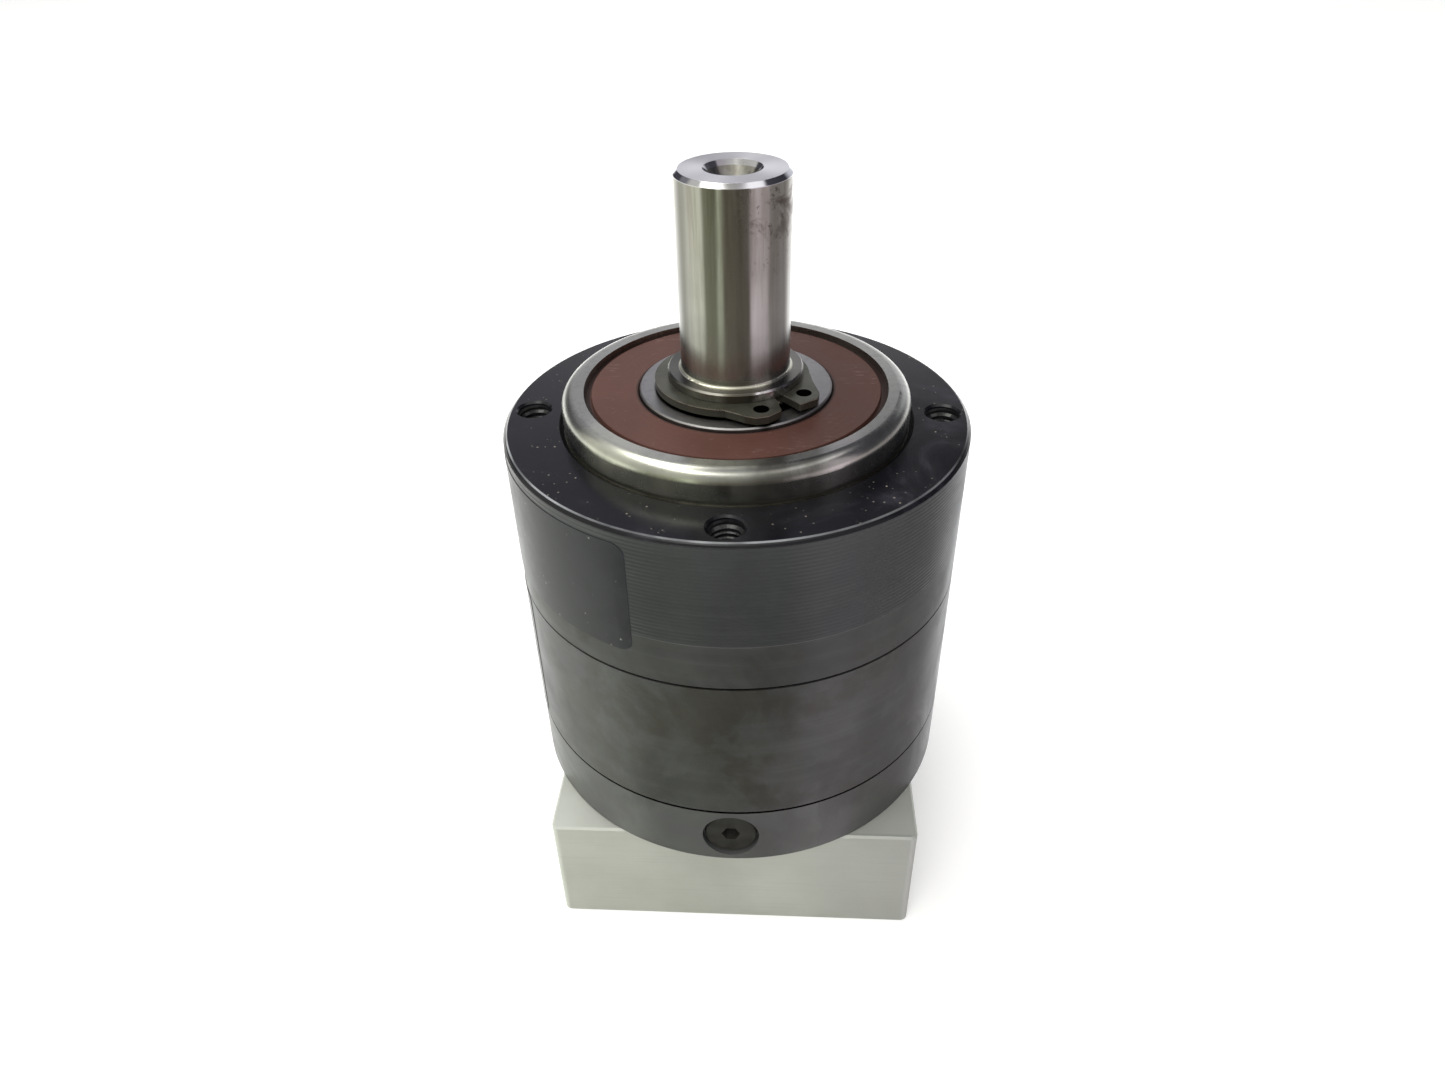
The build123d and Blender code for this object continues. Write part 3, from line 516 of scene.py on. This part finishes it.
def thread(name, x, y, top, length, body, material):
    """Internal thread: a V-shaped ridge wound down the wall of a plain hole."""
    mesh = bpy.data.meshes.new(name)
    bm = bmesh.new()
    count = int(length / THREAD_PITCH * THREAD_STEPS)
    rings = []
    for i in range(count + 1):
        angle = 2 * math.pi * i / THREAD_STEPS
        height = top - THREAD_PITCH * i / THREAD_STEPS
        fade = min(1.0, i / THREAD_STEPS, (count - i) / THREAD_STEPS)
        ring = []
        for offset, inward in ((0.44, 0.0), (0.06, 1.0), (-0.06, 1.0), (-0.44, 0.0)):
            r = TAP_DRILL_R - THREAD_GAP - THREAD_DEPTH * inward * fade
            ring.append(bm.verts.new((x + r * math.cos(angle), y + r * math.sin(angle),
                                      height + offset * THREAD_PITCH)))
        rings.append(ring)
    for a, b in zip(rings, rings[1:]):
        for j in range(3):
            bm.faces.new((a[j], a[j + 1], b[j + 1], b[j]))
        bm.faces.new((a[3], a[0], b[0], b[3]))
    bm.faces.new(rings[0])
    bm.faces.new(list(reversed(rings[-1])))
    bmesh.ops.recalc_face_normals(bm, faces=bm.faces)
    bm.to_mesh(mesh)
    bm.free()
    piece = bpy.data.objects.new(name, mesh)
    bpy.context.collection.objects.link(piece)
    piece.data.materials.append(material)
    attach(piece, body)


for k in range(4):
    direction = math.radians(90 * k)
    thread(f"flange_thread_{k + 1}", BOLT_CIRCLE_R * math.cos(direction), BOLT_CIRCLE_R * math.sin(direction),
           FACE - 0.7 * MM, 8.6 * MM, "housing", thread_shade_black)
thread("shaft_thread", 0.0, 0.0, SHAFT_TOP - 2.9 * MM, 9.0 * MM, "carrier", bearing_steel)


# Camera at the photograph's viewing angle

HEADING = math.radians(-3.865)
PITCH = math.radians(35.398)
ROLL = math.radians(-1.380)
SENSOR = 36.0
FOCAL_LENGTH = 25.1996
CAMERA_PLACE = (6.68 * MM, -136.54 * MM, FACE + 72.78 * MM)

camera_data = bpy.data.cameras.new("camera")
camera_data.sensor_width = SENSOR
camera_data.lens = FOCAL_LENGTH
camera_data.clip_start = 0.005
camera = bpy.data.objects.new("camera", camera_data)
bpy.context.collection.objects.link(camera)
forward = Vector((math.sin(HEADING) * math.cos(PITCH), math.cos(HEADING) * math.cos(PITCH), -math.sin(PITCH)))
level_right = Vector((math.cos(HEADING), -math.sin(HEADING), 0.0))
level_up = level_right.cross(forward)
right = math.cos(ROLL) * level_right + math.sin(ROLL) * level_up
up = math.cos(ROLL) * level_up - math.sin(ROLL) * level_right
turn = Matrix((right, up, -forward)).transposed().to_4x4()
camera.matrix_world = Matrix.Translation(CAMERA_PLACE) @ turn
bpy.context.scene.camera = camera


# Floor

FLOOR_HALF = 6

floor_surface = Surface("floor_white")
floor_surface.tone = floor_surface.mix(floor_surface.noise(scale=6), (0.90, 0.90, 0.90), (0.93, 0.93, 0.93))
floor_surface.shine = 0.6
floor_surface.shader.inputs["Emission Color"].default_value = (1, 1, 1, 1)
floor_surface.shader.inputs["Emission Strength"].default_value = 0.22
floor_mesh = bpy.data.meshes.new("floor")
floor_mesh.from_pydata([(-FLOOR_HALF, -FLOOR_HALF, 0), (FLOOR_HALF, -FLOOR_HALF, 0),
                        (FLOOR_HALF, FLOOR_HALF, 0), (-FLOOR_HALF, FLOOR_HALF, 0)], [], [(0, 1, 2, 3)])
floor = bpy.data.objects.new("floor", floor_mesh)
bpy.context.collection.objects.link(floor)
floor.data.materials.append(floor_surface.done())
floor.visible_glossy = False


# Light: a soft room for the metal to mirror, and two soft panels

# Each list gives colours by direction: degrees round the Z axis from the front (-Y), positive towards +X
LOW = (
    (-180, (2.20, 2.22, 2.20)), (-142, (1.70, 1.72, 1.67)), (-118, (1.08, 1.10, 1.02)),
    (-64, (1.02, 1.06, 0.92)), (-56, (0.29, 0.30, 0.22)), (-34, (0.23, 0.24, 0.17)),
    (-28, (0.66, 0.72, 0.58)), (-22, (0.56, 0.60, 0.47)), (-17, (0.18, 0.165, 0.13)),
    (31, (0.145, 0.13, 0.11)), (38, (0.82, 0.74, 0.80)), (68, (0.72, 0.65, 0.70)),
    (80, (0.39, 0.36, 0.36)), (122, (0.47, 0.45, 0.46)), (145, (1.50, 1.50, 1.52)),
    (180, (2.20, 2.22, 2.20)),
)
HIGH = (
    (-180, (0.90, 0.90, 0.93)), (-158, (0.55, 0.55, 0.58)), (-150, (0.07, 0.07, 0.08)),
    (-118, (0.07, 0.07, 0.08)), (-110, (0.55, 0.55, 0.50)), (-16, (0.40, 0.41, 0.36)),
    (14, (0.22, 0.22, 0.20)), (76, (0.40, 0.38, 0.40)), (84, (0.06, 0.06, 0.07)),
    (133, (0.08, 0.08, 0.09)), (150, (0.70, 0.72, 0.76)), (180, (0.90, 0.90, 0.93)),
)
DOME = (
    (-180, (0.29, 0.29, 0.33)), (-165, (0.29, 0.29, 0.34)), (-150, (0.28, 0.28, 0.31)),
    (-118, (0.22, 0.22, 0.23)), (-110, (0.60, 0.60, 0.56)), (-16, (0.42, 0.42, 0.38)),
    (76, (0.40, 0.38, 0.40)), (84, (0.06, 0.06, 0.07)), (150, (0.04, 0.04, 0.05)),
    (172, (0.05, 0.05, 0.06)), (180, (0.29, 0.29, 0.33)),
)
WINDOW = (
    (-180, (0.30, 0.30, 0.31)), (-140, (3.6, 3.6, 3.4)), (-30, (3.6, 3.6, 3.4)), (10, (1.3, 1.3, 1.25)),
    (80, (1.2, 1.2, 1.2)), (140, (0.30, 0.30, 0.31)), (180, (0.30, 0.30, 0.31)),
)
CAMERA_WHITE = (1.0, 1.0, 1.0)
MIDDLE = (0.0, 0.0, 0.06)


class Room:
    """A world whose colour depends on direction, as a soft studio with dark and light walls."""

    def __init__(self):
        self.world = bpy.data.worlds.new("room")
        self.world.use_nodes = True
        self.tree = self.world.node_tree
        self.links = self.tree.links
        split = self.node("ShaderNodeSeparateXYZ")
        self.links.new(self.node("ShaderNodeTexCoord").outputs["Generated"], split.inputs[0])
        x, y, self.z = split.outputs
        azimuth = self.math("ARCTAN2", x, self.math("MULTIPLY", y, -1.0))
        self.place = self.math("ADD", self.math("DIVIDE", azimuth, 2 * math.pi), 0.5)

    def node(self, kind):
        return self.tree.nodes.new(kind)

    def feed(self, socket, value):
        if isinstance(value, bpy.types.NodeSocket):
            self.links.new(value, socket)
        else:
            socket.default_value = value

    def math(self, operation, first, second):
        made = self.node("ShaderNodeMath")
        made.operation = operation
        self.feed(made.inputs[0], first)
        self.feed(made.inputs[1], second)
        return made.outputs[0]

    def around(self, stops):
        """Colours by azimuth."""
        ramp = self.node("ShaderNodeValToRGB")
        self.links.new(self.place, ramp.inputs[0])
        ramp.color_ramp.interpolation = "EASE"
        elements = ramp.color_ramp.elements
        while len(elements) > 1:
            elements.remove(elements[-1])
        for index, (degrees, colour) in enumerate(stops):
            element = elements.new(0.5 + degrees / 360) if index else elements[0]
            element.position = 0.5 + degrees / 360
            element.color = (*colour, 1)
        return ramp.outputs[0]

    def mixed(self, factor, first, second):
        blend = self.node("ShaderNodeMix")
        blend.data_type = "RGBA"
        self.links.new(factor, blend.inputs[0])
        self.links.new(first, blend.inputs[6])
        self.feed(blend.inputs[7], second)
        return blend.outputs[2]

    def stacked(self, below, above, start, end):
        """Change from one colour to the next between two heights on the unit sphere."""
        rise = self.node("ShaderNodeMapRange")
        rise.interpolation_type = "SMOOTHSTEP"
        self.links.new(self.z, rise.inputs["Value"])
        rise.inputs["From Min"].default_value = start
        rise.inputs["From Max"].default_value = end
        return self.mixed(rise.outputs[0], below, above)

    def show(self, colour):
        """Light the scene with colour, but show the camera plain white."""
        seen = self.node("ShaderNodeLightPath").outputs["Is Camera Ray"]
        background = self.tree.nodes["Background"]
        self.links.new(self.mixed(seen, colour, (*CAMERA_WHITE, 1)), background.inputs["Color"])
        background.inputs["Strength"].default_value = 1.0
        bpy.context.scene.world = self.world


def panel(name, place, size, power, tint=(1, 1, 1)):
    """A soft rectangular lamp that looks at the middle of the gearbox."""
    light = bpy.data.lights.new(name, "AREA")
    light.shape = "RECTANGLE"
    light.size, light.size_y = size
    light.energy = power
    light.color = tint
    lamp = bpy.data.objects.new(name, light)
    bpy.context.collection.objects.link(lamp)
    lamp.visible_glossy = False
    lamp.location = place
    lamp.rotation_euler = (Vector(MIDDLE) - Vector(place)).to_track_quat("-Z", "Y").to_euler()


room = Room()
dome = room.around(DOME)
colour = room.stacked(room.around(LOW), room.around(HIGH), -0.08, 0.12)
colour = room.stacked(colour, dome, 0.39, 0.47)
colour = room.stacked(colour, room.around(WINDOW), 0.78, 0.83)
colour = room.stacked(colour, dome, 0.92, 0.96)
room.show(colour)

panel("key", (-0.45, 0.30, 0.95), (1.6, 1.6), 8.0)
panel("fill", (-0.15, -0.85, 0.7), (0.9, 0.7), 7.0, (1.0, 0.98, 0.96))
bpy.context.scene.view_settings.view_transform = "Standard"
